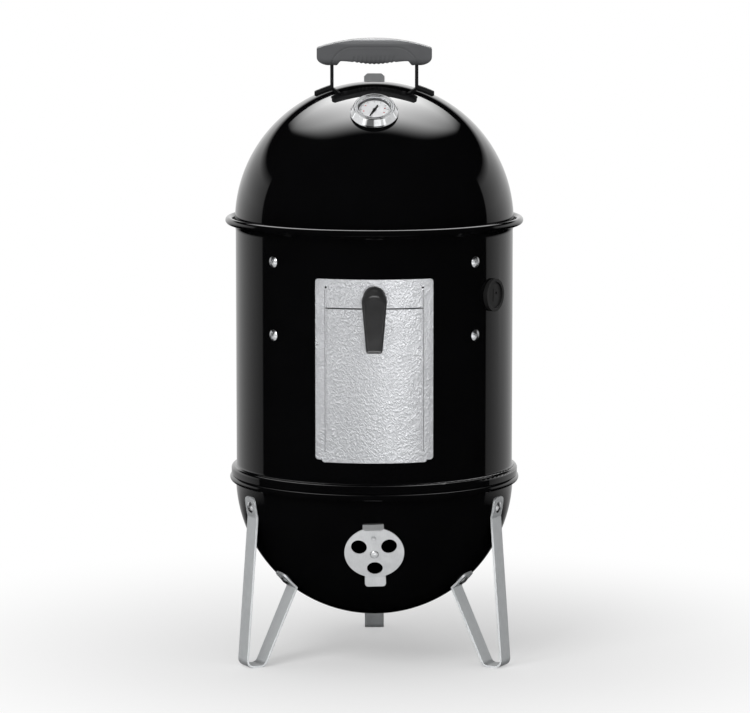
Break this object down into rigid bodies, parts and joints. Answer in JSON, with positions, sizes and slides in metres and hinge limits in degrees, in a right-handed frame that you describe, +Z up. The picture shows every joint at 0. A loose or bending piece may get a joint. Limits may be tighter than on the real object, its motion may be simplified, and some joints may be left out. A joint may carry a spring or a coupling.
{
  "type": "vertical water smoker",
  "caption": "Upright charcoal water smoker: domed lid with grip, damper and dial thermometer, barrel with tilting front door, and damped charcoal bowl on strap legs.",
  "frame": {"origin": "on the floor, on the upright axis of the shells", "axes": "+Z up, front with the door and thermometer towards -Y, probe grommet on the +X side"},
  "size_m": [0.376, 0.3848, 0.7858],
  "materials": {
    "enamel": "high-gloss black vitreous enamel",
    "grey_nylon": "satin moulded glass-filled nylon",
    "black_nylon": "satin moulded nylon",
    "dark_steel": "dark satin enamel",
    "zinc_steel": "bright zinc plate",
    "sheet_aluminium": "satin sheet",
    "stucco_aluminium": "stucco-embossed bright sheet",
    "leg_strap": "satin aluminised strap",
    "chrome": "polished",
    "dial_white": "matt white print",
    "needle_black": "matt black",
    "glass": "clear lens",
    "bimetal": "plain",
    "rubber": "matt silicone",
    "plated_wire": "nickel plate",
    "plain_steel": "plain rolled steel"
  },
  "bodies": {
    "bowl_base": {"charcoal_bowl": "enamel", "bowl_damper_rivet": "zinc_steel", "leg_front_left": "leg_strap", "leg_front_right": "leg_strap", "leg_rear": "leg_strap", "leg_bolts": "zinc_steel", "leg_nuts": "zinc_steel"},
    "bowl_vent": {"bowl_damper": "sheet_aluminium"},
    "coal_grate": {"charcoal_grate": "plain_steel"},
    "coal_ring": {"charcoal_ring": "plain_steel"},
    "barrel": {"barrel_shell": "enamel", "bracket_front_left": "zinc_steel", "bracket_front_right": "zinc_steel", "bracket_rear_left": "zinc_steel", "bracket_rear_right": "zinc_steel", "bracket_bolts": "zinc_steel", "bracket_nuts": "zinc_steel", "probe_grommet": "rubber"},
    "door": {"door_panel": "stucco_aluminium", "door_rest_tabs": "zinc_steel"},
    "latch": {"latch_paddle": "black_nylon", "latch_bolt": "zinc_steel", "latch_washer": "zinc_steel", "latch_tongue": "zinc_steel", "latch_nut": "zinc_steel"},
    "pan": {"water_pan": "enamel"},
    "grate_lower": {"lower_grate": "plated_wire", "lower_grate_handles": "plated_wire"},
    "grate_top": {"top_grate": "plated_wire", "top_grate_handles": "plated_wire"},
    "lid": {"lid_shell": "enamel", "lid_handle_grip": "grey_nylon", "lid_handle_strap_left": "dark_steel", "lid_handle_strap_right": "dark_steel", "lid_handle_screws": "zinc_steel", "lid_damper_rivet": "zinc_steel", "thermometer_bezel": "chrome", "thermometer_dial": "dial_white", "thermometer_lens": "glass", "thermometer_stem": "zinc_steel", "thermometer_nut": "zinc_steel", "thermometer_bimetal": "bimetal"},
    "lid_vent": {"lid_damper": "sheet_aluminium"},
    "needle": {"thermometer_needle": "needle_black"}
  },
  "joints": [
    {"name": "bowl_damper_turn", "type": "hinge", "parent": "bowl_base", "child": "bowl_vent", "pos_m": [0, -0.16015, 0.15741], "axis": [0, -0.91, -0.4147], "range_deg": [0, 60]},
    {"name": "coal_grate_lift", "type": "slide", "parent": "bowl_base", "child": "coal_grate", "axis": [0, 0, 1], "range_m": [0, 0.02]},
    {"name": "coal_ring_lift", "type": "slide", "parent": "coal_grate", "child": "coal_ring", "axis": [0, 0, 1], "range_m": [0, 0.025]},
    {"name": "barrel_lift", "type": "slide", "parent": "bowl_base", "child": "barrel", "axis": [0, 0, 1], "range_m": [0, 0.3]},
    {"name": "door_tilt", "type": "hinge", "parent": "barrel", "child": "door", "pos_m": [0, -0.1765, 0.273], "axis": [1, 0, 0], "range_deg": [0, 80]},
    {"name": "latch_turn", "type": "hinge", "parent": "door", "child": "latch", "pos_m": [0, -0.176, 0.474], "axis": [0, -1, 0], "range_deg": [0, 90]},
    {"name": "pan_lift", "type": "slide", "parent": "barrel", "child": "pan", "axis": [0, 0, 1], "range_m": [0, 0.04]},
    {"name": "lower_grate_lift", "type": "slide", "parent": "pan", "child": "grate_lower", "axis": [0, 0, 1], "range_m": [0, 0.045]},
    {"name": "top_grate_lift", "type": "slide", "parent": "barrel", "child": "grate_top", "axis": [0, 0, 1], "range_m": [0, 0.055]},
    {"name": "lid_lift", "type": "slide", "parent": "barrel", "child": "lid", "axis": [0, 0, 1], "range_m": [0, 0.25]},
    {"name": "lid_damper_turn", "type": "hinge", "parent": "lid", "child": "lid_vent", "pos_m": [0, 0.07853, 0.71284], "axis": [0, 0.4462, 0.8949], "range_deg": [0, 60]},
    {"name": "needle_turn", "type": "hinge", "parent": "lid", "child": "needle", "pos_m": [0, -0.10476, 0.7022], "axis": [0, 0.5807, -0.8141], "range_deg": [0, 270]}
  ]
}
